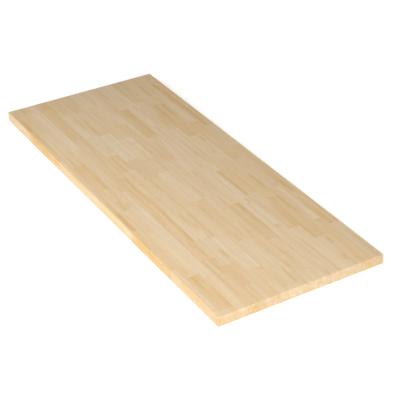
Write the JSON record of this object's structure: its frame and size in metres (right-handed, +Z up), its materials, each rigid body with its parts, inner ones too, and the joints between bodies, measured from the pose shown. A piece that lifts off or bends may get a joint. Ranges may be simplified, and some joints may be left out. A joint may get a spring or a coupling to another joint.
{
  "type": "butcher block countertop",
  "caption": "Solid hardwood worktop of short finger-jointed blocks glued edge to edge in long rows, sawn square and left unfinished, for laying on base cabinets.",
  "frame": {"origin": "centre of the underside", "axes": "+X along the grain and the length, +Y towards the wall edge, +Z up through the working face"},
  "size_m": [1.524, 0.635, 0.0381],
  "materials": {
    "sanded_hardwood": "sanded smooth, left without oil or lacquer"
  },
  "bodies": {
    "root": {"stave_row_01": "sanded_hardwood", "stave_row_02": "sanded_hardwood", "stave_row_03": "sanded_hardwood", "stave_row_04": "sanded_hardwood", "stave_row_05": "sanded_hardwood", "stave_row_06": "sanded_hardwood", "stave_row_07": "sanded_hardwood", "stave_row_08": "sanded_hardwood", "stave_row_09": "sanded_hardwood", "stave_row_10": "sanded_hardwood", "stave_row_11": "sanded_hardwood", "stave_row_12": "sanded_hardwood", "stave_row_13": "sanded_hardwood", "stave_row_14": "sanded_hardwood"}
  },
  "joints": []
}
